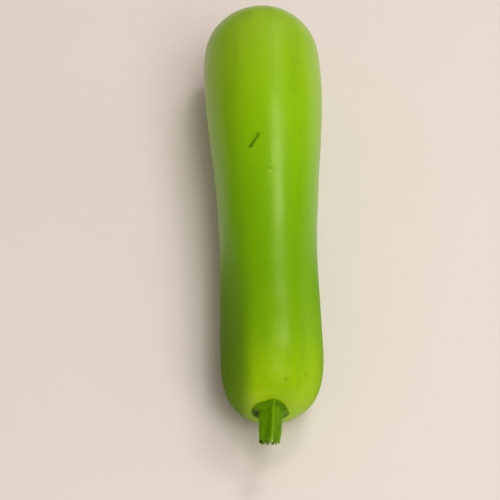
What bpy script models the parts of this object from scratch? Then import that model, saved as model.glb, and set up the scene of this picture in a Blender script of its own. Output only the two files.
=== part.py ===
# Bottle gourd lying on its side: one fruit and its cut stem.
# Metres, +Z up. The axis of the fruit runs along Y, with the blossom end at +Y and the stem at -Y.

import math

import bmesh
import bpy
from mathutils import Matrix, Vector

# Fruit, measured along its axis from the blossom end
FRUIT_LENGTH = 0.330
BULB_RADIUS = 0.041
BULB_AT = 0.050
WAIST_RADIUS = 0.0319
WAIST_AT = 0.216
SHOULDER_RADIUS = 0.0324
BLOSSOM_CAP_LENGTH = 0.048
STEM_CAP_LENGTH = 0.044

# Roundness of the two ends: a higher start power keeps the body's width for longer,
# and a higher tip power makes the end blunter
BLOSSOM_START_POWER = 2.9
BLOSSOM_TIP_POWER = 2.5
STEM_START_POWER = 2.6
STEM_TIP_POWER = 3.4

# The axis bows and sways a little to one side, its stem end leans to the other,
# and the underside arches between the two places it rests on
SIDE_BOW = 0.0007
SIDE_SWAY = 0.00035
END_LEAN = 0.0010
ARCH_HEIGHT = 0.0035
BULB_REST_AT = 0.054
SHOULDER_REST_AT = 0.278
FLAT_DEPTH = 0.0004

# Scar at the blossom end
SCAR_RADIUS = 0.0045
SCAR_DEPTH = 0.0008

# Stem, measured along its own axis from the end of the fruit, beside whose axis it stands a little
STEM_SHIFT = 0.0018
STEM_LENGTH = 0.0212
COLLAR_RADIUS = 0.0121
COLLAR_LOBE_DEPTH = 0.09
COLLAR_RIM = 0.0009
COLLAR_FADE = 0.0030
SHANK_BASE_RADIUS = 0.0080
SHANK_TIP_RADIUS = 0.0070
STEM_DROOP = math.radians(18)
STEM_LEAN = math.radians(5)
ROOT_RADIUS = 0.0058
ROOT_DEPTH = 0.0050
SEAT_MARGIN = 0.0036
RIDGES = 5
RIDGE_DEPTH = 0.17
RIDGE_POWER = 1.2
RIDGE_TURN = math.radians(164)

# Clearance between the stem and the fruit
GAP = 0.0003

# Fineness
FRUIT_SEGMENTS = 48
CAP_RINGS = 11
BODY_RINGS = 20
SCAR_RINGS = 3
STEM_SEGMENTS = 40
STEM_RINGS = 12
STEM_RING_SPREAD = 1.4
STEM_PATH_STEPS = 24
SHARP_ANGLE = math.radians(40)

SKIN_COLOUR = (0.21, 0.41, 0.012, 1.0)
STEM_COLOUR = (0.075, 0.19, 0.006, 1.0)


def ease(part):
    # Smooth step from 0 to 1
    part = min(max(part, 0.0), 1.0)
    return part * part * (3.0 - 2.0 * part)


def body_radius(along):
    # Radius of the fruit without its rounded ends
    fall = ease((along - BULB_AT) / (WAIST_AT - BULB_AT))
    rise = ease((along - WAIST_AT) / (FRUIT_LENGTH - STEM_CAP_LENGTH - WAIST_AT))
    return BULB_RADIUS + (WAIST_RADIUS - BULB_RADIUS) * fall + (SHOULDER_RADIUS - WAIST_RADIUS) * rise


def cap_point(turn, length, start_power, tip_power):
    # Rounded end: distance from the tip, and radius as a share of the body's, for a turn of
    # 0 at the tip to a quarter circle where the body starts
    distance = length * (1.0 - math.cos(turn) ** (2.0 / start_power))
    return distance, math.sin(turn) ** (2.0 / tip_power)


def cap_turn(share, tip_power):
    # Turn at which a rounded end has this share of the body's radius
    return math.asin(share ** (tip_power / 2.0))


def stem_end_distance(radius):
    # How far the stem end's surface lies behind its tip at this distance from the axis
    turn = cap_turn(radius / SHOULDER_RADIUS, STEM_TIP_POWER)
    return cap_point(turn, STEM_CAP_LENGTH, STEM_START_POWER, STEM_TIP_POWER)[0]


def axis_point(along):
    # Centre of the fruit's cross-section, with the underside FLAT_DEPTH below the surface it rests on
    part = min(max((along - BULB_REST_AT) / (SHOULDER_REST_AT - BULB_REST_AT), 0.0), 1.0)
    underside = ARCH_HEIGHT * math.sin(math.pi * part) ** 2 - FLAT_DEPTH
    turn = math.pi * along / FRUIT_LENGTH
    side = SIDE_BOW * math.sin(turn) + SIDE_SWAY * math.sin(2.0 * turn)
    side -= END_LEAN * ease(1.0 - (FRUIT_LENGTH - along) / STEM_CAP_LENGTH)
    return Vector((side, -along, body_radius(along) + underside))


def fruit_outline():
    # Half outline of the fruit as (distance along the axis, radius), from the scar's middle
    # over the outside to just before the stem's seat
    outline = []
    for i in range(1, SCAR_RINGS + 1):
        share = i / (SCAR_RINGS + 1)
        outline.append((SCAR_DEPTH * (1.0 - share ** 2) ** 2, SCAR_RADIUS * share))

    first = cap_turn(SCAR_RADIUS / BULB_RADIUS, BLOSSOM_TIP_POWER)
    for i in range(CAP_RINGS):
        turn = first + (math.pi / 2.0 - first) * i / CAP_RINGS
        distance, share = cap_point(turn, BLOSSOM_CAP_LENGTH, BLOSSOM_START_POWER, BLOSSOM_TIP_POWER)
        outline.append((distance, BULB_RADIUS * share))

    body_end = FRUIT_LENGTH - STEM_CAP_LENGTH
    for i in range(BODY_RINGS + 1):
        along = BLOSSOM_CAP_LENGTH + (body_end - BLOSSOM_CAP_LENGTH) * i / BODY_RINGS
        outline.append((along, body_radius(along)))

    last = cap_turn((ROOT_RADIUS + SEAT_MARGIN) / SHOULDER_RADIUS, STEM_TIP_POWER)
    for i in range(1, CAP_RINGS + 1):
        turn = math.pi / 2.0 + (last - math.pi / 2.0) * i / CAP_RINGS
        distance, share = cap_point(turn, STEM_CAP_LENGTH, STEM_START_POWER, STEM_TIP_POWER)
        outline.append((FRUIT_LENGTH - distance, SHOULDER_RADIUS * share))
    return outline


def around(segments, start=0.0):
    # Angles round an axis, the first straight down and the next towards +X
    return [start + 2.0 * math.pi * i / segments for i in range(segments)]


def outward(angle, reach):
    # Offset square to the fruit's axis
    return Vector((reach * math.sin(angle), 0.0, -reach * math.cos(angle)))


def fruit_ring(along, radius):
    centre = axis_point(along)
    return [centre + outward(angle, radius) for angle in around(FRUIT_SEGMENTS)]


def stem_foot():
    # Where the stem's axis meets the end of the fruit
    return axis_point(FRUIT_LENGTH) - Vector((STEM_SHIFT, 0.0, 0.0))


def end_ring(offsets, height):
    # A ring at these offsets from the stem's foot, that follows the end of the fruit at this
    # height over its skin
    ring = []
    for offset in offsets:
        point = stem_foot() + offset
        from_axis = (point - axis_point(FRUIT_LENGTH)).length
        ring.append(point + Vector((0.0, stem_end_distance(from_axis) - height, 0.0)))
    return ring


def seat_rings():
    # Mouth and bottom of the round seat that the stem's root stands in
    offsets = [outward(angle, ROOT_RADIUS + GAP) for angle in around(FRUIT_SEGMENTS)]
    return [end_ring(offsets, 0.0), end_ring(offsets, -ROOT_DEPTH - GAP)]


def ridged_radius(radius, angle, depth):
    # Radius with pointed ridges: the full radius on a ridge, and less by the depth between two
    between = abs(math.sin(RIDGES * (angle - RIDGE_TURN) / 2.0))
    return radius * (1.0 - depth * between ** RIDGE_POWER)


def ridged_offsets(radius, depth):
    turns = around(STEM_SEGMENTS, RIDGE_TURN)
    return [outward(angle, ridged_radius(radius, angle, depth)) for angle in turns]


def shank_radius(along):
    # The shank tapers to its tip and flares out to the collar at its foot
    taper = SHANK_BASE_RADIUS + (SHANK_TIP_RADIUS - SHANK_BASE_RADIUS) * along / STEM_LENGTH
    return taper + (COLLAR_RADIUS - SHANK_BASE_RADIUS) * math.exp(-along / COLLAR_FADE)


def stem_turn(along):
    # The stem leaves the fruit straight, and droops and leans more and more towards its tip
    share = ease(along / STEM_LENGTH)
    return Matrix.Rotation(-STEM_LEAN * share, 3, "Z") @ Matrix.Rotation(STEM_DROOP * share, 3, "X")


def stem_place(along):
    # Point on the stem's curved axis
    place = stem_foot()
    step = along / STEM_PATH_STEPS
    for i in range(STEM_PATH_STEPS):
        place = place + stem_turn(step * (i + 0.5)) @ Vector((0.0, -step, 0.0))
    return place


def shank_ring(along):
    # One ridged cross-section of the shank, square to its axis
    place = stem_place(along)
    turn = stem_turn(along)
    return [place + turn @ offset for offset in ridged_offsets(shank_radius(along), RIDGE_DEPTH)]


def stem_rings():
    # From the root's bottom in the seat, over the lobed collar that hugs the fruit, to the cut end
    root = [outward(angle, ROOT_RADIUS) for angle in around(STEM_SEGMENTS, RIDGE_TURN)]
    collar = ridged_offsets(COLLAR_RADIUS, COLLAR_LOBE_DEPTH)
    rings = [end_ring(root, -ROOT_DEPTH), end_ring(root, GAP)]
    rings += [end_ring(collar, GAP), end_ring(collar, GAP + COLLAR_RIM)]
    first = 2.0 * COLLAR_RIM
    for i in range(STEM_RINGS + 1):
        share = (i / STEM_RINGS) ** STEM_RING_SPREAD
        rings.append(shank_ring(first + (STEM_LENGTH - first) * share))
    return rings


def grow_solid(name, rings, material):
    # Closed solid: the first ring is capped, and each later ring is extruded from the one before
    bm = bmesh.new()
    first = [bm.verts.new(point) for point in rings[0]]
    cap = bm.faces.new(first)
    for ring in rings[1:]:
        cap = bmesh.ops.extrude_discrete_faces(bm, faces=[cap])["faces"][0]
        for vert, point in zip(cap.verts, ring):
            vert.co = point
    bm.faces.new(reversed(first))
    bmesh.ops.recalc_face_normals(bm, faces=bm.faces)
    mesh = bpy.data.meshes.new(name)
    bm.to_mesh(mesh)
    bm.free()
    mesh.materials.append(material)
    solid = bpy.data.objects.new(name, mesh)
    bpy.context.collection.objects.link(solid)
    return solid


def cut_flats(solid):
    # The two places that reach below the surface are cut level with it and closed
    bm = bmesh.new()
    bm.from_mesh(solid.data)
    geometry = bm.verts[:] + bm.edges[:] + bm.faces[:]
    bmesh.ops.bisect_plane(
        bm, geom=geometry, dist=1e-6, plane_co=(0.0, 0.0, 0.0), plane_no=(0.0, 0.0, 1.0), clear_inner=True
    )
    rims = [edge for edge in bm.edges if edge.is_boundary]
    bmesh.ops.holes_fill(bm, edges=rims, sides=0)
    bmesh.ops.recalc_face_normals(bm, faces=bm.faces)
    bm.to_mesh(solid.data)
    bm.free()


def shade_round(solid):
    solid.data.shade_smooth()
    solid.data.set_sharp_from_angle(angle=SHARP_ANGLE)


def centre_over_origin(solids):
    # Middle of the whole box over the origin, with the flats on Z = 0
    points = [vert.co for solid in solids for vert in solid.data.vertices]
    middle = [(min(p[i] for p in points) + max(p[i] for p in points)) / 2.0 for i in range(2)]
    for solid in solids:
        solid.data.transform(Matrix.Translation((-middle[0], -middle[1], 0.0)))


def make_material(name, colour, roughness):
    material = bpy.data.materials.new(name)
    material.use_nodes = True
    shader = material.node_tree.nodes["Principled BSDF"]
    shader.inputs["Base Color"].default_value = colour
    shader.inputs["Roughness"].default_value = roughness
    material.diffuse_color = colour
    return material


def main():
    for old in list(bpy.data.objects):
        bpy.data.objects.remove(old, do_unlink=True)

    skin = make_material("skin", SKIN_COLOUR, 0.35)
    stalk = make_material("stalk", STEM_COLOUR, 0.6)

    fruit_rings = [fruit_ring(*point) for point in fruit_outline()] + seat_rings()
    fruit = grow_solid("fruit", fruit_rings, skin)
    cut_flats(fruit)
    stem = grow_solid("stem", stem_rings(), stalk)

    centre_over_origin([fruit, stem])
    shade_round(fruit)
    shade_round(stem)


main()
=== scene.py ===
# Bottle gourd lying on its side, dressed for the camera. Metres, +Z up.
# Its axis runs along Y, with the blossom end at +Y and the cut stem at -Y.

import math
import random

import bmesh
import bpy
from mathutils import Matrix, Vector, kdtree, noise


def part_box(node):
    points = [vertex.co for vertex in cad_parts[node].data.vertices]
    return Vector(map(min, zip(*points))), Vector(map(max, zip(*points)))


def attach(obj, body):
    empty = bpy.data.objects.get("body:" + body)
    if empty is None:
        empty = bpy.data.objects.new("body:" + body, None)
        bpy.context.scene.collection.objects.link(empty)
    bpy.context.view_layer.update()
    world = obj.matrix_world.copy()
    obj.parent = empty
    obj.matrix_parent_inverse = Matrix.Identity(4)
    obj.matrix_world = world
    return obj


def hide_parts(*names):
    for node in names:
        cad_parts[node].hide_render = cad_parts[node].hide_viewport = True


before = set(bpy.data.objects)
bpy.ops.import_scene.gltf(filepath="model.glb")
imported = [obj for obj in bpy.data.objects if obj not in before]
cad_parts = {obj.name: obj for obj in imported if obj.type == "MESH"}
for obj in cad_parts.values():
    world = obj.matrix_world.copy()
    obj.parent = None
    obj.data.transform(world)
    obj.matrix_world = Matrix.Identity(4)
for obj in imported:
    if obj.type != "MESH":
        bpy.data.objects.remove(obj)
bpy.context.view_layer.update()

tiny = 1e-6              # a length or share below this counts as nothing
print("packed model loaded")


# Modelling by hand: every piece starts from a filled circle that faces along Y

def deselectAll():
    if bpy.context.mode != "OBJECT":
        bpy.ops.object.mode_set(mode="OBJECT")
    bpy.ops.object.select_all(action="DESELECT")


def selectOnly(piece):
    deselectAll()
    piece.select_set(True)
    bpy.context.view_layer.objects.active = piece


def startPiece(name, segments, radius, centre):
    deselectAll()
    bpy.ops.mesh.primitive_circle_add(
        vertices=segments, radius=radius, fill_type="TRIFAN", location=centre, rotation=(math.pi / 2, 0, 0)
    )
    bpy.ops.object.transform_apply(location=True, rotation=True, scale=True)
    piece = bpy.context.object
    piece.name = piece.data.name = name
    bpy.ops.object.mode_set(mode="EDIT")
    bpy.ops.mesh.select_all(action="SELECT")
    return piece


def growRing(step, grow, centre):
    # the end face goes on by one step and is then scaled about its new centre
    bpy.ops.mesh.extrude_region_move(TRANSFORM_OT_translate={"value": step})
    bpy.ops.transform.resize(value=(grow, grow, grow), center_override=centre)


def finishMesh(piece):
    # all faces turned outwards, and each one divided once and smoothed
    bpy.ops.object.mode_set(mode="EDIT")
    bpy.ops.mesh.select_all(action="SELECT")
    bpy.ops.mesh.normals_make_consistent(inside=False)
    selectOnly(piece)
    smooth = piece.modifiers.new("smooth", "SUBSURF")
    smooth.levels = smooth.render_levels = 1
    bpy.ops.object.modifier_apply(modifier=smooth.name)


def shadeSmooth(piece):
    selectOnly(piece)
    bpy.ops.object.shade_smooth()


def addAttribute(piece, name, values):
    attribute = piece.data.attributes.new(name, "FLOAT", "POINT")
    attribute.data.foreach_set("value", values)


def clamp(part):
    return min(max(part, 0.0), 1.0)


def ease(part):
    part = clamp(part)
    return part * part * (3.0 - 2.0 * part)


def outward(turn, reach):
    # offset square to the gourd's axis; turn is counted from straight down towards +X
    return Vector((reach * math.sin(turn), 0.0, -reach * math.cos(turn)))


def degreesPast(there, turn):
    # how far a turn is past this place round the axis, from -180 to 180 degrees
    return (math.degrees(turn) - there + 180.0) % 360.0 - 180.0


# Fruit: distances along its axis count from the blossom end
fruit = {
    "length": 0.330,
    "bulbRadius": 0.041,
    "bulbAt": 0.050,
    "waistRadius": 0.0319,
    "waistAt": 0.216,
    "shoulderRadius": 0.0324,
    "blossomCap": {"length": 0.048, "start": 2.9, "tip": 2.5},      # start: how full it is beside the body
    "stemCap": {"length": 0.044, "start": 2.6, "tip": 3.4},         # tip: how blunt it is at its end
    "sideBow": 0.0007,          # the axis bows to one side, sways and leans over at the stem
    "sideSway": 0.00035,
    "endLean": 0.0010,
    "archHeight": 0.0035,       # how far the middle stands up between the two places that it rests on
    "bulbRestAt": 0.054,
    "shoulderRestAt": 0.278,
    "flatDepth": 0.0004,
    "scarRadius": 0.0045,
    "scarDepth": 0.0008,
    "nubHeight": 0.0005,        # what is left of the flower, in the middle of the scar
    "nubShare": 0.3,            # its width, as a share of the scar's
    "seatMargin": 0.0036,       # from the stem's root to the last ring of the outline
    "tightRing": 0.0006,        # from an edge of the seat to the rings beside it
    "segments": 96,
    "scarRings": 6,
    "capRings": 18,
    "bodyRings": 80,
    "fineness": 8,              # steps of the true outline to each ring
    "swells": [                 # gentle unevenness of the skin: height, and size across, along and up
        (0.00060, (0.040, 0.070, 0.040)),
        (0.00030, (0.014, 0.026, 0.014)),
        (0.00006, (0.006, 0.012, 0.006)),
    ],
    "pucker": 0.00035,          # shallow grooves that run out from the stem
    "puckerCount": 10,
    "puckerLength": 0.020,
    "puckerFade": 0.35,         # the share of that length in which they fade
    "puckerStart": 0.004,       # how far from the stem they are full
    "evenMargin": 0.006,        # the skin is even at the stem, and has its swells from here on
}

# Marks on the skin: the places that each runs through, as (distance along the axis, turn in degrees)
marks = {
    "streak": {
        "path": [(0.1368, 189.8), (0.1385, 190.3), (0.1416, 193.6), (0.1455, 198.2)],
        "width": 0.00098,
        "depth": 0.00022,
        "dark": 0.76,
        "ends": 0.40,           # how much wider it is at its two ends
    },
    "nick": {
        "path": [(0.1646, 178.3), (0.1648, 177.3)],
        "width": 0.00060,
        "depth": 0.00018,
        "dark": 0.55,
        "ends": 0.0,
    },
    "specks": {
        "places": [             # distance along the axis, turn in degrees, and how dark it is
            (0.0526, 170.2, 0.50), (0.0687, 144.1, 0.28), (0.0939, 155.1, 0.34), (0.0970, 149.7, 0.28),
            (0.1281, 140.9, 0.36), (0.2395, 183.9, 0.40), (0.3228, 160.9, 0.64), (0.3172, 132.7, 0.54),
        ],
        "width": 0.00064,
        "depth": 0.00008,
        "ends": 0.0,
    },
    "lip": {"at": (0.1662, 177.5), "width": 0.00085, "height": 0.00006},    # pale and raised, at the nick
    "wobble": 0.2,              # how much a mark's width wanders, as a share of it
    "wobbleSize": 0.0016,
    "spread": 3.0,              # a mark shows out to this many of its widths
    "sharpness": 3,             # how steep its edge is
    "reach": 0.0024,            # the skin is finer out to this far from a mark
    "search": 0.020,            # and the marks that start within this distance are looked at
    "cuts": 4,
}

# Stem: distances along it count from the end of the fruit
stem = {
    "shift": 0.0018,            # how far its foot stands beside the fruit's axis, towards -X
    "length": 0.0227,
    "baseRadius": 0.0079,
    "tipRadius": 0.0067,
    "droop": math.radians(18),
    "lean": math.radians(5.5),
    "rootRadius": 0.0058,
    "rootDepth": 0.0050,
    "gap": 0.0003,              # between it and the fruit, at the root and under the collar
    "pathSteps": 24,
    "segments": 120,
    "rings": 26,
    "ringSpread": 1.25,         # above 1, they stand closer near the collar
    "ridgeTurns": (21, 93, 165, 249, 312),      # degrees, as round the fruit
    "ridgeDepth": 0.17,
    "ridgePower": 1.2,
    "ridgeSpacing": 72,         # the spacing that has this depth
    "ribs": 34,
    "ribHeight": 0.00003,
    "uneven": {"height": 0.00018, "around": 3.0, "along": 0.006},   # low bumps: their number and length
    "collar": [                 # turn in degrees and reach in metres
        (21, 0.0118), (46, 0.0120), (74, 0.0127), (93, 0.0113), (123, 0.0111),
        (151, 0.0119), (170, 0.0123), (195, 0.0104), (223, 0.0107), (251, 0.0106),
        (272, 0.0113), (292, 0.0114), (308, 0.0111), (334, 0.0104),
    ],
    "collarRim": 0.0012,        # how high its rim stands over the fruit
    "collarRings": [            # from its underside to the top of the rim, as shares of reach and of height
        (0.75, 0.0), (0.96, 0.0), (1.0, 0.35), (0.98, 0.8),
    ],
    "collarFade": 0.0014,       # how soon the flare towards it ends, up the shank
    # a dent beside the collar; turn and spread in degrees
    "hollow": {"turn": 276, "spread": 24, "along": 0.0026, "length": 0.0017, "depth": 0.0016},
    "shankStart": 1.3,          # where the shank's rings begin, in heights of the rim
    "tornLength": 0.0042,       # and how far from the cut end they stop
    "cutSlant": math.radians(11),               # the cut end reaches further on one side
    "cutSlantTurn": math.radians(205),
    "notches": [                # gaps in the cut end: turn in degrees, how wide and how deep
        (238, 13, 0.0022), (209, 6, 0.0022), (186, 5, 0.0020), (158, 5, 0.0007),
        (132, 6, 0.0011), (106, 7, 0.0009), (70, 8, 0.0016), (35, 6, 0.0010),
        (4, 8, 0.0014), (332, 6, 0.0012), (296, 8, 0.0012), (268, 5, 0.0007),
    ],
    "ragged": 0.0003,
    "raggedWaves": [            # share of that height, and waves round the rim and inwards
        (1.0, 5.0, 7.0),
        (0.6, 14.0, 11.0),
    ],
    "rimRings": [               # share of the radius, how far behind the end, and share of the notches
        (1.0, 0.0020, 0.3), (0.995, 0.0010, 0.7), (0.97, 0.0002, 1.0),
        (0.90, -0.0001, 1.1), (0.83, 0.0006, 1.0),
    ],
    "pithDepth": 0.0018,
    "pithRings": [              # the same for the pith, with shares of its depth in the middle
        (0.76, 1.0, 0.4), (0.62, 0.6, 0.2), (0.48, 1.0, 0.0), (0.30, 0.7, 0.0), (0.14, 1.0, 0.0),
    ],
    "fibres": {                 # torn fibres, each pulled out of one face of the cut end
        "count": 30,
        "length": (0.0004, 0.0013),
        "steps": 2,
        "splay": 0.25,
        "thinner": 0.72,        # at each step
        "zone": (0.25, 0.93),   # the faces that may have one: share of the radius
        "reach": (0.35, 0.93),  # and where one is looked for
        "depth": 2.0,           # how deep a face may lie, in depths of the pith
        "facing": 0.3,          # how far it must face along the stem
        "seed": 7,
    },
    "paint": {                  # where each of its colours shows
        "samples": 60,          # cross-sections that the points are measured in
        "sampled": 1.15,        # how far along these go, in lengths of the stem
        "cutFrom": 0.0030,      # the cut end's colour begins here, behind the cut
        "cutFade": 0.0012,
        "rimShare": 0.985,      # and inside this share of the radius
        "rimFade": 0.05,
        "shadeFrom": 0.0003,     # painted shade in the torn end, darker from here down
        "shadeFade": 0.0010,
        "pithShade": 0.35,       # how much of that painted shade the pith has, within a share of the radius
        "pithShare": 0.50,
        "pithFade": 0.20,
        "ridgeWidth": 0.0009,
        "paleFrom": 0.0050,     # a ridge is paler from here to the cut
        "paleFade": 0.0040,
        "shadowWider": 1.2,     # the painted shadow spot is larger than the hollow, across and along
        "shadowLonger": 1.3,
    },
}


def bodyRadius(along):
    bulb, waist, shoulder = fruit["bulbRadius"], fruit["waistRadius"], fruit["shoulderRadius"]
    bodyEnd = fruit["length"] - fruit["stemCap"]["length"]
    fall = ease((along - fruit["bulbAt"]) / (fruit["waistAt"] - fruit["bulbAt"]))
    rise = ease((along - fruit["waistAt"]) / (bodyEnd - fruit["waistAt"]))
    return bulb + (waist - bulb) * fall + (shoulder - waist) * rise


def capPoint(cap, turn):
    # rounded end: distance from the tip, and radius as a share of the body's
    distance = cap["length"] * (1.0 - math.cos(turn) ** (2.0 / cap["start"]))
    return distance, math.sin(turn) ** (2.0 / cap["tip"])


def capTurn(cap, share):
    return math.asin(share ** (cap["tip"] / 2.0))


def stemEndDistance(radius):
    cap = fruit["stemCap"]
    return capPoint(cap, capTurn(cap, radius / fruit["shoulderRadius"]))[0]


def axisPoint(along):
    # centre of the cross-section, with the blossom end at the origin
    part = (along - fruit["bulbRestAt"]) / (fruit["shoulderRestAt"] - fruit["bulbRestAt"])
    arch = fruit["archHeight"] * math.sin(math.pi * clamp(part)) ** 2
    turn = math.pi * along / fruit["length"]
    side = fruit["sideBow"] * math.sin(turn) + fruit["sideSway"] * math.sin(2.0 * turn)
    side -= fruit["endLean"] * ease(1.0 - (fruit["length"] - along) / fruit["stemCap"]["length"])
    return Vector((side, -along, bodyRadius(along) + arch - fruit["flatDepth"]))


def fruitOutline(fineness=1):
    # half outline as (distance along the axis, radius), from the scar to the edge of the stem's seat
    outline = []
    scarRings = fruit["scarRings"] * fineness
    for i in range(1, scarRings + 1):
        share = i / (scarRings + 1)
        nub = fruit["nubHeight"] * math.exp(-(share / fruit["nubShare"]) ** 2)
        outline.append((fruit["scarDepth"] * (1.0 - share ** 2) ** 2 - nub, fruit["scarRadius"] * share))
    cap = fruit["blossomCap"]
    capRings = fruit["capRings"] * fineness
    first = capTurn(cap, fruit["scarRadius"] / fruit["bulbRadius"])
    for i in range(capRings):
        distance, share = capPoint(cap, first + (math.pi / 2 - first) * i / capRings)
        outline.append((distance, fruit["bulbRadius"] * share))
    bodyRings = fruit["bodyRings"] * fineness
    bodyEnd = fruit["length"] - fruit["stemCap"]["length"]
    for i in range(bodyRings + 1):
        along = cap["length"] + (bodyEnd - cap["length"]) * i / bodyRings
        outline.append((along, bodyRadius(along)))
    cap = fruit["stemCap"]
    last = capTurn(cap, (stem["rootRadius"] + fruit["seatMargin"]) / fruit["shoulderRadius"])
    for i in range(1, capRings + 1):
        distance, share = capPoint(cap, math.pi / 2 + (last - math.pi / 2) * i / capRings)
        outline.append((fruit["length"] - distance, fruit["shoulderRadius"] * share))
    return outline


def findTip():
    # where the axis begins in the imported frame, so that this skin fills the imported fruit's box
    outline = fruitOutline()
    low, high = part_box("fruit")
    side = max(axisPoint(along).x + radius for along, radius in outline)
    return Vector((high.x - side, high.y + min(along for along, radius in outline), 0.0))


tip = findTip()
stemFoot = tip + axisPoint(fruit["length"]) - Vector((stem["shift"], 0.0, 0.0))


def skinPoint(along, turn):
    # point of the plain outline at this distance from the blossom end and this turn in degrees
    radius = bodyRadius(along)
    fromEnd = fruit["length"] - along
    cap = fruit["stemCap"]
    if fromEnd < cap["length"]:
        bend = math.acos((1.0 - fromEnd / cap["length"]) ** (cap["start"] / 2.0))
        radius = fruit["shoulderRadius"] * math.sin(bend) ** (2.0 / cap["tip"])
    return tip + axisPoint(along) + outward(math.radians(turn), radius)


def allMarks():
    # streak, nick and specks alike, each with the line on the skin that it follows
    specks = marks["specks"]
    found = [marks["streak"], marks["nick"]]
    for along, turn, dark in specks["places"]:
        found.append({**specks, "path": [(along, turn)] * 2, "dark": dark})
    return [{**mark, "line": [skinPoint(*place) for place in mark["path"]]} for mark in found]


def distanceToMark(point, mark):
    # distance from the mark's middle line, and how far along it that is, from 0 to 1
    line = mark["line"]
    found = []
    for i, (start, end) in enumerate(zip(line, line[1:])):
        step = end - start
        part = 0.0
        if step.length > 0.0:
            part = clamp((point - start).dot(step) / step.length_squared)
        found.append(((point - start - step * part).length, (i + part) / (len(line) - 1)))
    return min(found)


def growFruit():
    outline = fruitOutline()
    centre = tip + axisPoint(outline[0][0])
    radius = outline[0][1]
    piece = startPiece("gourdFruit", fruit["segments"], radius, centre)
    for along, nextRadius in outline[1:]:
        nextCentre = tip + axisPoint(along)
        growRing(nextCentre - centre, nextRadius / radius, nextCentre)
        centre, radius = nextCentre, nextRadius

    # the round seat that the stem's root stands in, with a tight ring on both sides of each edge
    mouth = stem["rootRadius"] + stem["gap"]
    bottom = -stem["rootDepth"] - stem["gap"]
    tight = fruit["tightRing"]
    seat = [
        (mouth + tight, 0.0), (mouth, 0.0), (mouth, -tight),
        (mouth, bottom + tight), (mouth, bottom), (mouth - tight, bottom),
    ]
    for nextRadius, height in seat:
        nextCentre = stemFoot + Vector((0.0, stemEndDistance(mouth) - height, 0.0))
        growRing(nextCentre - centre, nextRadius / radius, nextCentre)
        centre, radius = nextCentre, nextRadius
    finishMesh(piece)
    return piece


def nearMark(point, marksHere):
    for mark in marksHere:
        if (point - mark["line"][0]).length < marks["search"]:
            if distanceToMark(point, mark)[0] < marks["reach"]:
                return True
    return False


def refineAtMarks(piece):
    # the faces round the marks are cut finer, all at once, so that none is cut twice
    marksHere = allMarks()
    bpy.ops.object.mode_set(mode="EDIT")
    bpy.ops.mesh.select_mode(type="FACE")
    bpy.ops.mesh.select_all(action="DESELECT")
    mesh = bmesh.from_edit_mesh(piece.data)
    for face in mesh.faces:
        face.select_set(nearMark(face.calc_center_median(), marksHere))
    bmesh.update_edit_mesh(piece.data)
    bpy.ops.mesh.subdivide(number_cuts=marks["cuts"], ngon=False)
    bpy.ops.object.mode_set(mode="OBJECT")


def markEffect(point, marksHere):
    # how deep the skin is sunk here, and how dark and how pale it is
    sunk = dark = 0.0
    for mark in marksHere:
        distance, part = distanceToMark(point, mark)
        width = mark["width"] * (1.0 + mark["ends"] * (2.0 * part - 1.0) ** 2)
        width *= 1.0 + marks["wobble"] * noise.noise(point / marks["wobbleSize"])
        if distance > marks["spread"] * width:
            continue
        here = math.exp(-(distance / width) ** marks["sharpness"])
        sunk += mark["depth"] * here
        dark = max(dark, mark["dark"] * here)
    lip = marks["lip"]
    pale = math.exp(-((point - skinPoint(*lip["at"])).length / lip["width"]) ** 2) * (1.0 - dark)
    return sunk - lip["height"] * pale, dark, pale


def sculptFruit(piece):
    # every point goes onto the true outline, then in or out by the unevenness, grooves and marks
    outline = [Vector((along, radius, 0.0)) for along, radius in fruitOutline(fruit["fineness"])]
    nearest = kdtree.KDTree(len(outline))
    for i, point in enumerate(outline):
        nearest.insert(point, i)
    nearest.balance()
    marksHere = allMarks()
    seatEdge = stem["rootRadius"] + fruit["seatMargin"]

    mesh = bmesh.new()
    mesh.from_mesh(piece.data)
    moved = []
    for vert in mesh.verts:
        along = tip.y - vert.co.y
        away = vert.co - tip - axisPoint(along)
        radius = math.hypot(away.x, away.z)
        beside = math.hypot(vert.co.x - stemFoot.x, vert.co.z - stemFoot.z)
        inSeat = along > fruit["length"] / 2 and beside < seatEdge
        if inSeat or radius < tiny:
            continue
        onLine = nearest.find((along, radius, 0.0))[0]
        away.y = 0.0
        vert.co = tip + axisPoint(onLine.x) + away.normalized() * onLine.y
        moved.append(vert)
    mesh.normal_update()

    dark = [0.0] * len(mesh.verts)
    pale = [0.0] * len(mesh.verts)
    for vert in moved:
        place = vert.co.copy()
        along = tip.y - place.y
        rise = 0.0
        for height, size in fruit["swells"]:
            rise += height * noise.noise([place[i] / size[i] for i in range(3)])
        if along > fruit["length"] - fruit["stemCap"]["length"]:
            fromStem = math.hypot(place.x - stemFoot.x, place.z - stemFoot.z) - seatEdge
            turn = math.atan2(place.x - stemFoot.x, stemFoot.z - place.z)
            groove = 0.5 - 0.5 * math.cos(fruit["puckerCount"] * turn)
            fade = ease(fromStem / fruit["puckerStart"])
            fade *= math.exp(-fromStem / (fruit["puckerFade"] * fruit["puckerLength"]))
            rise -= fruit["pucker"] * groove * fade
            rise *= ease(fromStem / fruit["evenMargin"])
        sunk, dark[vert.index], pale[vert.index] = markEffect(place, marksHere)
        vert.co = place + vert.normal * (rise - sunk)
    mesh.to_mesh(piece.data)
    mesh.free()
    addAttribute(piece, "markDark", dark)
    addAttribute(piece, "markPale", pale)


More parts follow.
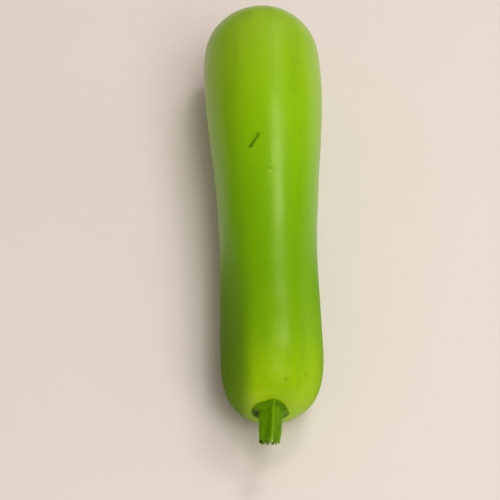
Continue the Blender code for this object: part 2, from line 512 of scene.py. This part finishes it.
def flattenUnderside(piece):
    # what reaches below the surface is pressed level with it
    selectOnly(piece)
    bpy.ops.object.mode_set(mode="EDIT")
    bpy.ops.mesh.select_mode(type="VERT")
    bpy.ops.mesh.select_all(action="DESELECT")
    mesh = bmesh.from_edit_mesh(piece.data)
    for vert in mesh.verts:
        vert.select_set(vert.co.z < 0.0)
    bmesh.update_edit_mesh(piece.data)
    bpy.ops.transform.resize(value=(1.0, 1.0, 0.0), center_override=(0.0, 0.0, 0.0))
    bpy.ops.object.mode_set(mode="OBJECT")


def makeFruit():
    piece = growFruit()
    refineAtMarks(piece)
    sculptFruit(piece)
    flattenUnderside(piece)
    shadeSmooth(piece)
    return piece


gourdFruit = makeFruit()
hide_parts("fruit")
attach(gourdFruit, "root")
print("fruit made:", len(gourdFruit.data.polygons), "faces")


def ridgedShare(turn):
    # share of the shank's radius: 1 on a ridge, and less between two, more so where they stand wide apart
    degrees = math.degrees(turn) % 360.0
    turns = stem["ridgeTurns"]
    for i, left in enumerate(turns):
        right = turns[(i + 1) % len(turns)]
        spacing = (right - left) % 360.0
        part = ((degrees - left) % 360.0) / spacing
        if part <= 1.0:
            depth = stem["ridgeDepth"] * (spacing / stem["ridgeSpacing"]) ** 2
            return 1.0 - depth * math.sin(math.pi * part) ** stem["ridgePower"]
    return 1.0


def collarReach(turn):
    # smooth closed curve through the collar's points
    degrees = math.degrees(turn) % 360.0
    points = stem["collar"]
    count = len(points)
    for i, (left, reach) in enumerate(points):
        right, nextReach = points[(i + 1) % count]
        part = ((degrees - left) % 360.0) / ((right - left) % 360.0)
        if part <= 1.0:
            before, after = points[i - 1][1], points[(i + 2) % count][1]
            return 0.5 * (
                2.0 * reach + (nextReach - before) * part
                + (2.0 * before - 5.0 * reach + 4.0 * nextReach - after) * part ** 2
                + (3.0 * reach - before - 3.0 * nextReach + after) * part ** 3
            )
    return points[0][1]


def inHollow(along, turn, wider=1.0, longer=1.0):
    # 1 in the middle of the hollow beside the collar, and down to 0 away from it
    hollow = stem["hollow"]
    beside = degreesPast(hollow["turn"], turn) / (wider * hollow["spread"])
    return math.exp(-beside ** 2 - ((along - hollow["along"]) / (longer * hollow["length"])) ** 2)


def ringNoise(turn, around, inwards):
    return noise.noise((math.cos(turn) * around, math.sin(turn) * around, inwards))


def shankRadius(along, turn):
    # the shank tapers to its tip and flares out to the collar at its foot
    taper = stem["baseRadius"] + (stem["tipRadius"] - stem["baseRadius"]) * along / stem["length"]
    radius = taper * ridgedShare(turn)
    flare = (collarReach(turn) - radius) * math.exp(-along / stem["collarFade"])
    dent = stem["hollow"]["depth"] * inHollow(along, turn)
    rib = stem["ribHeight"] * math.cos(stem["ribs"] * turn)
    uneven = stem["uneven"]
    bumps = uneven["height"] * ringNoise(turn, uneven["around"], along / uneven["along"])
    return radius + flare - dent + rib + bumps


def stemTurn(along):
    share = ease(along / stem["length"])
    return Matrix.Rotation(-stem["lean"] * share, 3, "Z") @ Matrix.Rotation(stem["droop"] * share, 3, "X")


def stemPlace(along):
    place = stemFoot.copy()
    step = along / stem["pathSteps"]
    for i in range(stem["pathSteps"]):
        place = place + stemTurn(step * (i + 0.5)) @ Vector((0.0, -step, 0.0))
    return place


def shapeEnd(piece, rule):
    # each point of the end face goes where the rule puts it; the first is the middle one, and the
    # others follow round from straight up
    mesh = bmesh.from_edit_mesh(piece.data)
    middle, *rim = sorted((vert for vert in mesh.verts if vert.select), key=lambda vert: vert.index)
    for i, vert in enumerate(rim):
        vert.co = rule(math.pi + 2.0 * math.pi * i / len(rim))
    middle.co = sum((vert.co for vert in rim), Vector()) / len(rim)
    bmesh.update_edit_mesh(piece.data)


def extrudeTo(piece, rule):
    bpy.ops.mesh.extrude_region_move(TRANSFORM_OT_translate={"value": (0.0, 0.0, 0.0)})
    shapeEnd(piece, rule)


def onFruit(turn, reach, height):
    # point at this reach from the stem's foot and this height over the fruit's skin
    point = stemFoot + outward(turn, reach)
    fromAxis = (point - tip - axisPoint(fruit["length"])).length
    return point + Vector((0.0, stemEndDistance(fromAxis) - height, 0.0))


def collarRule(share, height):
    return lambda turn: onFruit(turn, collarReach(turn) * share, height)


def shankRule(along):
    place, turned = stemPlace(along), stemTurn(along)
    return lambda turn: place + turned @ outward(turn, shankRadius(along, turn))


def notchDepth(turn):
    # how far the cut end is torn back at this turn
    depth = 0.0
    for notch, width, back in stem["notches"]:
        beside = degreesPast(notch, turn) / width
        depth = max(depth, back * math.exp(-beside ** 4))
    return depth


def slantReach(point):
    # how much further than the middle the slanted cut reaches at this point
    return math.tan(stem["cutSlant"]) * point.dot(outward(stem["cutSlantTurn"], 1.0))


def cutRule(share, behind, torn):
    # ring of the cut end, at this share of the radius and this far behind the end
    place, turned = stemPlace(stem["length"]), stemTurn(stem["length"])

    def rule(turn):
        point = outward(turn, share * shankRadius(stem["length"], turn))
        wave = 0.0
        for height, around, inwards in stem["raggedWaves"]:
            wave += height * ringNoise(turn, around, share * inwards)
        back = behind + stem["ragged"] * wave + torn * notchDepth(turn) - slantReach(point)
        return place + turned @ (point + Vector((0.0, back, 0.0)))
    return rule


def pullFibres(piece):
    # single faces of the cut end, each drawn out and thinned; a face is found by its place, because the
    # order of the faces is not the same in every run
    fibres = stem["fibres"]
    chance = random.Random(fibres["seed"])
    place, turned = stemPlace(stem["length"]), stemTurn(stem["length"])
    out = turned @ Vector((0.0, -1.0, 0.0))
    inner, outer = fibres["zone"]
    bpy.ops.mesh.select_mode(type="FACE")
    found = []
    for face in bmesh.from_edit_mesh(piece.data).faces:
        centre = face.calc_center_median()
        away = centre - place
        beside = (away - out * away.dot(out)).length / stem["tipRadius"]
        inZone = inner < beside < outer and away.dot(out) > -fibres["depth"] * stem["pithDepth"]
        if inZone and abs(face.normal.dot(out)) > fibres["facing"]:
            found.append(centre)
    for i in range(fibres["count"]):
        turn = chance.uniform(0.0, 2.0 * math.pi)
        reach = chance.uniform(*fibres["reach"]) * stem["tipRadius"]
        near = place + turned @ outward(turn, reach)
        middle = min(found, key=lambda centre: (centre - near).length)
        found.remove(middle)
        bpy.ops.mesh.select_all(action="DESELECT")
        mesh = bmesh.from_edit_mesh(piece.data)
        face = min(mesh.faces, key=lambda face: (face.calc_center_median() - middle).length)
        face.select_set(True)
        bmesh.update_edit_mesh(piece.data)
        for j in range(fibres["steps"]):
            splay = Vector([chance.uniform(-fibres["splay"], fibres["splay"]) for k in range(3)])
            step = (out + splay) * chance.uniform(*fibres["length"]) / fibres["steps"]
            middle = middle + step
            bpy.ops.mesh.extrude_region_move(TRANSFORM_OT_translate={"value": step})
            bpy.ops.transform.resize(value=[fibres["thinner"]] * 3, center_override=middle)


def growStem():
    gap, rim, root = stem["gap"], stem["collarRim"], stem["rootRadius"]
    piece = startPiece("gourdStem", stem["segments"], root, stemFoot)
    shapeEnd(piece, lambda turn: onFruit(turn, root, -stem["rootDepth"]))
    extrudeTo(piece, lambda turn: onFruit(turn, root, gap))
    for share, height in stem["collarRings"]:
        extrudeTo(piece, collarRule(share, gap + height * rim))
    first = gap + stem["shankStart"] * rim
    last = stem["length"] - stem["tornLength"]
    for i in range(stem["rings"] + 1):
        along = first + (last - first) * (i / stem["rings"]) ** stem["ringSpread"]
        extrudeTo(piece, shankRule(along))
    # the torn end: the rim with its rounded edge, and the pith sunk inside it
    for share, behind, torn in stem["rimRings"]:
        extrudeTo(piece, cutRule(share, behind, torn))
    for share, sunk, torn in stem["pithRings"]:
        extrudeTo(piece, cutRule(share, sunk * stem["pithDepth"], torn))
    pullFibres(piece)
    finishMesh(piece)
    return piece


def paintStem(piece):
    # how much each point has of a ridge's colour, of the cut end's, and of painted shadow in the hollow and
    # in the torn end's sunk parts
    paint = stem["paint"]
    path = []
    for i in range(paint["samples"] + 1):
        along = paint["sampled"] * stem["length"] * i / paint["samples"]
        path.append((along, stemPlace(along), stemTurn(along)))
    ridge, cut, dark = [], [], []
    for vert in piece.data.vertices:
        # the nearest cross-section, and where the point is in it
        along, place, turned = min(path, key=lambda spot: abs((vert.co - spot[1]).dot(spot[2].col[1])))
        away = turned.transposed() @ (vert.co - place)
        turn = math.atan2(away.x, -away.z)
        reach = math.hypot(away.x, away.z)
        inside = reach / max(shankRadius(min(along, stem["length"]), turn), tiny)
        fromCut = stem["length"] + slantReach(away) - along

        toRidge = min(abs(degreesPast(there, turn)) for there in stem["ridgeTurns"])
        isRidge = math.exp(-(math.radians(toRidge) * reach / paint["ridgeWidth"]) ** 2)
        nearCut = ease((paint["cutFrom"] - fromCut) / paint["cutFade"])
        isCut = nearCut * ease((paint["rimShare"] - inside) / paint["rimFade"])
        paleRidge = isRidge * ease((paint["paleFrom"] - fromCut) / paint["paleFade"])
        # painted shade in the torn end's sunk parts and notches: darkest near the rim; the pith further in
        # is paler
        fromPith = ease((inside - paint["pithShare"]) / paint["pithFade"])
        sunk = isCut * ease((fromCut - paint["shadeFrom"]) / paint["shadeFade"])
        sunk *= paint["pithShade"] + (1.0 - paint["pithShade"]) * fromPith
        # painted shadow in and around the hollow beside the collar
        hollowShadow = inHollow(along, turn, paint["shadowWider"], paint["shadowLonger"])
        ridge.append(isRidge * (1.0 - nearCut))
        cut.append(max(isCut, paleRidge))
        dark.append(min(1.0, max(hollowShadow, sunk)))
    addAttribute(piece, "ridge", ridge)
    addAttribute(piece, "cut", cut)
    addAttribute(piece, "hollow", dark)


gourdStem = growStem()
paintStem(gourdStem)
shadeSmooth(gourdStem)
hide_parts("stem")
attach(gourdStem, "root")
print("stem made:", len(gourdStem.data.polygons), "faces")


# Materials

def colour(red, green, blue):
    # colour as picked on a screen, 0 to 255, as a shader wants it
    def linear(value):
        value = value / 255.0
        return value / 12.92 if value <= 0.04045 else ((value + 0.055) / 1.055) ** 2.4
    return (linear(red), linear(green), linear(blue), 1.0)


def startMaterial(name):
    material = bpy.data.materials.new(name)
    material.use_nodes = True
    return material, material.node_tree.nodes["Principled BSDF"]


def addNode(tree, kind, **settings):
    node = tree.nodes.new(kind)
    for key, value in settings.items():
        setattr(node, key, value)
    return node


def patternSpace(tree, scale):
    coordinates = addNode(tree, "ShaderNodeTexCoord")
    mapping = addNode(tree, "ShaderNodeMapping")
    mapping.inputs["Scale"].default_value = scale
    tree.links.new(coordinates.outputs["Object"], mapping.inputs["Vector"])
    return mapping.outputs["Vector"]


def addNoise(tree, scale, size, detail, rough=0.5):
    # scale stretches the pattern each way where it is below 1; size is how many waves go to a metre
    pattern = addNode(tree, "ShaderNodeTexNoise")
    pattern.inputs["Scale"].default_value = size
    pattern.inputs["Detail"].default_value = detail
    pattern.inputs["Roughness"].default_value = rough
    tree.links.new(patternSpace(tree, scale), pattern.inputs["Vector"])
    return pattern.outputs["Fac"]


def mapRange(tree, value, low, high, toLow=0.0, toHigh=1.0, kind="SMOOTHSTEP"):
    node = addNode(tree, "ShaderNodeMapRange", interpolation_type=kind)
    node.inputs["From Min"].default_value = low
    node.inputs["From Max"].default_value = high
    node.inputs["To Min"].default_value = toLow
    node.inputs["To Max"].default_value = toHigh
    tree.links.new(value, node.inputs["Value"])
    return node.outputs["Result"]


def mixColours(tree, share, first, second):
    # first and second are colours or sockets; the node's colour sockets share their names with others,
    # so they are counted
    node = addNode(tree, "ShaderNodeMix", data_type="RGBA")
    tree.links.new(share, node.inputs["Factor"])
    for socket, value in ((node.inputs[6], first), (node.inputs[7], second)):
        if isinstance(value, tuple):
            socket.default_value = value
        else:
            tree.links.new(value, socket)
    return node.outputs[2]


def attributeValue(tree, name):
    return addNode(tree, "ShaderNodeAttribute", attribute_name=name).outputs["Fac"]


skinLook = {
    # colour along the axis, from the stem's end (0) to the blossom end (1); partly the skin's own tone and
    # partly painted light: both ends lightened where light fell on them, and a pale painted sheen at the
    # blossom tip
    "along": [
        (0.00, colour(162, 202, 2)),
        (0.05, colour(143, 183, 0)),
        (0.12, colour(125, 173, 0)),
        (0.24, colour(109, 162, 0)),
        (0.44, colour(117, 171, 0)),
        (0.60, colour(131, 184, 0)),
        (0.80, colour(146, 189, 2)),
        (1.00, colour(150, 185, 56)),
    ],
    "alongRange": (-0.155, 0.177),          # where those two ends are, in metres
    "driftNoise": ((1.0, 0.4, 1.0), 30.0, 2.0),
    "drift": (-0.07, 0.07),                 # how far the colours wander along the axis
    "paintedShadeFlank": colour(84, 126, 0),            # painted shade: the -X side is darkened, most towards the stem
    "paintedShadeSide": (-0.0105, -0.0225),        # where it begins and where it is full, across
    "paintedShadeAlong": (-0.020, -0.125),         # and along
    "paintedShadeShare": (0.13, 0.88),             # near the blossom end and near the stem
    "streak": colour(100, 150, 0),
    "streakNoise": ((1.0, 0.10, 1.0), 110.0, 4.0, 0.6),
    "streakRange": (0.45, 0.75),            # values of that noise where a streak begins and is full
    "streakShare": 0.25,
    "fleck": colour(165, 200, 50),
    "fleckShare": 0.18,
    "flecks": {                             # small dots in the cells of a net
        "scale": (1.0, 0.7, 1.0),
        "size": 620.0,
        "edge": (0.30, 0.12),               # from the outside of a dot to its full colour, in cells
        "pick": (0.55, 0.685),              # each cell has a number: no dot up to the first, a full one
    },                                      # from the second on
    "mark": colour(64, 108, 0),
    "lip": colour(176, 208, 60),
    "roughWaist": 0.277,
    "roughBlossom": 0.30,
    "blossomAlong": (0.50, 0.85),           # from one to the other, from the stem's end (0) on
    "roughShoulder": 0.07,                  # added from here to there along the shoulder
    "shoulderAlong": (-0.100, -0.125),
    "dullAside": (0.014, 0.029),            # the sides of the shoulder are duller: where that begins
    "dullAlong": (-0.015, -0.085),          # and where it is full, across and along
    "dullMore": 0.52,
    "waxNoise": ((1.0, 0.3, 1.0), 45.0, 3.0),
    "waxRange": (0.3, 0.7),
    "waxRough": 0.02,
    "gloss": 0.35,
    "glossTint": (1.0, 0.92, 0.48, 1.0),
    "poreNoise": ((1.0, 0.6, 1.0), 420.0, 2.0),
    "poreBump": (0.10, 0.0004),             # strength and height
}


def colourRamp(tree, value, stops):
    node = addNode(tree, "ShaderNodeValToRGB")
    ramp = node.color_ramp
    ramp.interpolation = "B_SPLINE"
    while len(ramp.elements) < len(stops):
        ramp.elements.new(1.0)
    for element, (place, shade) in zip(ramp.elements, stops):
        element.position, element.color = place, shade
    tree.links.new(value, node.inputs["Fac"])
    return node.outputs["Color"]


def addMath(tree, kind, first, second):
    node = addNode(tree, "ShaderNodeMath", operation=kind)
    for socket, value in zip(node.inputs, (first, second)):
        if isinstance(value, float):
            socket.default_value = value
        else:
            tree.links.new(value, socket)
    return node.outputs["Value"]


def addBump(tree, shader, height, strength, distance):
    bump = addNode(tree, "ShaderNodeBump")
    bump.inputs["Strength"].default_value = strength
    bump.inputs["Distance"].default_value = distance
    tree.links.new(height, bump.inputs["Height"])
    tree.links.new(bump.outputs["Normal"], shader.inputs["Normal"])


def addFlecks(tree, flecks):
    cells = addNode(tree, "ShaderNodeTexVoronoi")
    cells.inputs["Scale"].default_value = flecks["size"]
    tree.links.new(patternSpace(tree, flecks["scale"]), cells.inputs["Vector"])
    dots = mapRange(tree, cells.outputs["Distance"], *flecks["edge"])
    drawn = addNode(tree, "ShaderNodeSeparateColor")
    tree.links.new(cells.outputs["Color"], drawn.inputs["Color"])
    picked = mapRange(tree, drawn.outputs["Red"], *flecks["pick"])
    return addMath(tree, "MULTIPLY", dots, picked)


def skinColour(tree, place, along):
    # the colours along the axis, partly painted light, and over them the painted shade on the -X flank, the
    # streaks, the flecks and the marks
    look = skinLook
    drift = mapRange(tree, addNoise(tree, *look["driftNoise"]), 0.0, 1.0, *look["drift"], kind="LINEAR")
    # the ramp along the axis is partly painted light at both ends
    base = colourRamp(tree, addMath(tree, "ADD", along, drift), look["along"])
    # painted shade: the -X flank is darkened, more so towards the stem
    side = mapRange(tree, place.outputs["X"], *look["paintedShadeSide"])
    shadeTowardsStem = mapRange(tree, place.outputs["Y"], *look["paintedShadeAlong"], *look["paintedShadeShare"])
    base = mixColours(tree, addMath(tree, "MULTIPLY", side, shadeTowardsStem), base, look["paintedShadeFlank"])
    streaks = addNoise(tree, *look["streakNoise"])
    streaks = mapRange(tree, streaks, *look["streakRange"], 0.0, look["streakShare"])
    base = mixColours(tree, streaks, base, look["streak"])
    flecks = addMath(tree, "MULTIPLY", addFlecks(tree, look["flecks"]), look["fleckShare"])
    base = mixColours(tree, flecks, base, look["fleck"])
    base = mixColours(tree, attributeValue(tree, "markDark"), base, look["mark"])
    return mixColours(tree, attributeValue(tree, "markPale"), base, look["lip"])


def skinRoughness(tree, place, along):
    # glossiest at the waist, duller at both ends, and most so on the sides of the shoulder
    look = skinLook
    rough = mapRange(tree, along, *look["blossomAlong"], look["roughWaist"], look["roughBlossom"])
    aside = mapRange(tree, addMath(tree, "ABSOLUTE", place.outputs["X"], 0.0), *look["dullAside"])
    dull = mapRange(tree, place.outputs["Y"], *look["dullAlong"], 0.0, look["dullMore"])
    shoulder = mapRange(tree, place.outputs["Y"], *look["shoulderAlong"], 0.0, look["roughShoulder"])
    wax = mapRange(tree, addNoise(tree, *look["waxNoise"]), *look["waxRange"], 0.0, look["waxRough"])
    for more in (addMath(tree, "MULTIPLY", aside, dull), shoulder, wax):
        rough = addMath(tree, "ADD", rough, more)
    return rough


def makeSkin():
    material, shader = startMaterial("skin")
    tree = material.node_tree
    place = addNode(tree, "ShaderNodeSeparateXYZ")
    tree.links.new(addNode(tree, "ShaderNodeTexCoord").outputs["Object"], place.inputs["Vector"])
    along = mapRange(tree, place.outputs["Y"], *skinLook["alongRange"], kind="LINEAR")
    tree.links.new(skinColour(tree, place, along), shader.inputs["Base Color"])
    tree.links.new(skinRoughness(tree, place, along), shader.inputs["Roughness"])
    shader.inputs["Specular IOR Level"].default_value = skinLook["gloss"]
    shader.inputs["Specular Tint"].default_value = skinLook["glossTint"]
    addBump(tree, shader, addNoise(tree, *skinLook["poreNoise"]), *skinLook["poreBump"])
    return material


stalkLook = {
    "dark": colour(72, 116, 0),
    "light": colour(98, 146, 0),
    "patchNoise": ((1.0, 0.5, 1.0), 160.0, 2.0),
    "patchRange": (0.3, 0.7),
    "ridge": colour(114, 158, 12),
    "ridgeShare": 0.75,
    "fibreNoise": ((1.0, 0.08, 1.0), 900.0, 3.0),
    "fibreRange": (0.4, 0.8),
    "fibreShare": 0.22,                     # of the ridges' colour, all over
    "fibreBump": (0.25, 0.0003),            # strength and height
    "cut": colour(142, 174, 74),
    # painted shadow, in the hollow beside the collar and in the torn end's sunk parts
    "hollow": colour(8, 22, 0),
    "rough": 0.50,
    "gloss": 0.14,
    "glossTint": (1.0, 1.0, 0.40, 1.0),
}


def makeStalk():
    material, shader = startMaterial("stalk")
    tree, look = material.node_tree, stalkLook
    fibres = addNoise(tree, *look["fibreNoise"])
    patches = mapRange(tree, addNoise(tree, *look["patchNoise"]), *look["patchRange"])
    base = mixColours(tree, patches, look["dark"], look["light"])
    paler = mapRange(tree, fibres, *look["fibreRange"], 0.0, look["fibreShare"])
    base = mixColours(tree, paler, base, look["ridge"])
    ridge = addMath(tree, "MULTIPLY", attributeValue(tree, "ridge"), look["ridgeShare"])
    base = mixColours(tree, ridge, base, look["ridge"])
    base = mixColours(tree, attributeValue(tree, "cut"), base, look["cut"])
    # painted shadow in the hollow and the torn end's sunk parts
    base = mixColours(tree, attributeValue(tree, "hollow"), base, look["hollow"])
    tree.links.new(base, shader.inputs["Base Color"])
    shader.inputs["Roughness"].default_value = look["rough"]
    shader.inputs["Specular IOR Level"].default_value = look["gloss"]
    shader.inputs["Specular Tint"].default_value = look["glossTint"]
    addBump(tree, shader, fibres, *look["fibreBump"])
    return material


def dress(piece, material):
    piece.data.materials.clear()
    piece.data.materials.append(material)


dress(gourdFruit, makeSkin())
dress(gourdStem, makeStalk())
print("materials made")


# Floor, light and camera

setting = {
    "floorSize": 6.0,
    "floorColour": colour(231, 220, 213),
    "floorRough": 0.9,
    "floorGloss": 0.1,
    "surround": colour(228, 216, 205),
    "surroundLight": 0.42,
    "surroundShine": 0.06,      # how bright it is in reflections
}

camera = {
    "lens": 135.0,              # millimetres, as the sensor
    "sensor": 36.0,
    "azimuth": math.radians(-1.40),             # at 0 it looks along the axis from the stem's side
    "elevation": math.radians(50.5),
    "distance": 1.2250,
    "target": Vector((-0.0126, -0.0317, 0.0400)),
}

# each light: where it stands seen from the gourd, how far, how wide and how long, its power, and
# whether the gourd's gloss mirrors it
lights = {
    "window": {
        "towards": (0.36, 0.43, 0.90), "distance": 1.7, "size": (0.52, 0.20), "power": 5.4, "shine": True,
    },
    "skylight": {
        "towards": (0.20, -0.25, 0.95), "distance": 1.7, "size": (0.36, 1.0), "power": 3.8, "shine": True,
    },
    "back": {
        "towards": (0.33, 0.77, 0.64), "distance": 1.6, "size": (0.46, 0.20), "power": 0.7, "shine": True,
    },
    "front": {
        "towards": (0.42, -0.62, 0.66), "distance": 1.6, "size": (0.40, 1.40), "power": 2.2, "shine": True,
    },
    "overhead": {
        "towards": (0.32, -0.55, 0.77), "distance": 3.2, "size": (2.3, 2.4), "power": 48.0, "shine": False,
    },
    "side": {
        "towards": (0.90, 0.20, 0.35), "distance": 2.6, "size": (1.4, 1.6), "power": 5.0, "shine": False,
    },
}


def makeFloor():
    deselectAll()
    bpy.ops.mesh.primitive_plane_add(size=setting["floorSize"], location=(0.0, 0.0, 0.0))
    floor = bpy.context.object
    floor.name = "floor"
    material, shader = startMaterial("floor")
    shader.inputs["Base Color"].default_value = setting["floorColour"]
    shader.inputs["Roughness"].default_value = setting["floorRough"]
    shader.inputs["Specular IOR Level"].default_value = setting["floorGloss"]
    dress(floor, material)


def makeSurround():
    world = bpy.data.worlds.new("surround")
    bpy.context.scene.world = world
    world.use_nodes = True
    tree = world.node_tree
    background = tree.nodes["Background"]
    background.inputs["Color"].default_value = setting["surround"]
    # dimmer in reflections than as light
    mirrored = addNode(tree, "ShaderNodeLightPath").outputs["Is Glossy Ray"]
    strength = mapRange(tree, mirrored, 0.0, 1.0, setting["surroundLight"], setting["surroundShine"])
    tree.links.new(strength, background.inputs["Strength"])


def makeLights():
    for name, light in lights.items():
        data = bpy.data.lights.new(name, "AREA")
        data.shape = "RECTANGLE"
        data.size, data.size_y = light["size"]
        data.energy = light["power"]
        lamp = bpy.data.objects.new(name, data)
        bpy.context.collection.objects.link(lamp)
        lamp.visible_glossy = light["shine"]
        towards = Vector(light["towards"]).normalized()
        across = Vector((0.0, 1.0, 0.0)).cross(towards).normalized()
        lamp.location = towards * light["distance"]
        turned = Matrix((across, towards.cross(across), towards)).transposed()
        lamp.rotation_mode = "QUATERNION"
        lamp.rotation_quaternion = turned.to_quaternion()


def makeCamera():
    data = bpy.data.cameras.new("camera")
    data.lens, data.sensor_width = camera["lens"], camera["sensor"]
    eye = bpy.data.objects.new("camera", data)
    bpy.context.collection.objects.link(eye)
    azimuth, elevation = camera["azimuth"], camera["elevation"]
    flat = math.cos(elevation)
    back = Vector((math.sin(azimuth) * flat, -math.cos(azimuth) * flat, math.sin(elevation)))
    eye.location = camera["target"] + back * camera["distance"]
    eye.rotation_mode = "QUATERNION"
    eye.rotation_quaternion = back.to_track_quat("Z", "Y")
    bpy.context.scene.camera = eye


makeFloor()
makeSurround()
makeLights()
makeCamera()
bpy.context.scene.view_settings.view_transform = "Standard"
print("floor, lights and camera placed")
